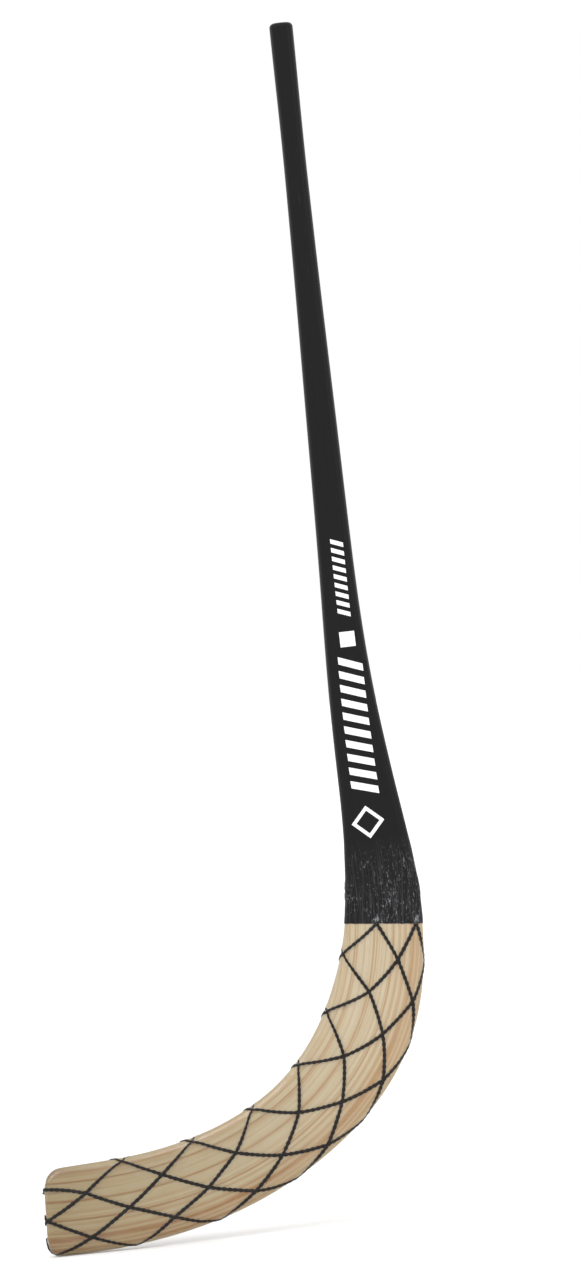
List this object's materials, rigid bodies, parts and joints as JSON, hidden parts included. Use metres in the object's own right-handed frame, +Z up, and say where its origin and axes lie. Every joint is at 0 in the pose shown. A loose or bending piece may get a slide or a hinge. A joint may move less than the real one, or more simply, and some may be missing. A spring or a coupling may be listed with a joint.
{
  "type": "bandy stick",
  "caption": "Bent wooden ice-ball stick: tapered black shaft flaring into a wide, flat laminated blade under a clear sleeve, wrapped in a black diamond net.",
  "frame": {"origin": "on the shaft's centreline at the upper hand's grip, 150 mm below the butt", "axes": "+Z up the shaft to the butt, -X towards the toe of the blade, -Y out of the front face"},
  "size_m": [0.311, 0.0205, 0.9129],
  "materials": {
    "wood": "pale straight-grained laminated wood with orange-brown grain lines",
    "clear_resin": "clear glossy resin over fine glass cloth",
    "black_coat": "satin black paint, rougher over the glass cloth near its lower end",
    "black_cord": "black twisted cord set in resin"
  },
  "bodies": {
    "root": {"centre_stave": "wood", "inner_stave": "wood", "outer_stave": "wood", "inner_edge_stave": "wood", "outer_edge_stave": "wood", "glass_fibre_sleeve": "clear_resin", "shaft_coat": "black_coat", "net_cord_1": "black_cord", "net_cord_2": "black_cord", "net_cord_3": "black_cord", "net_cord_4": "black_cord"}
  },
  "joints": []
}
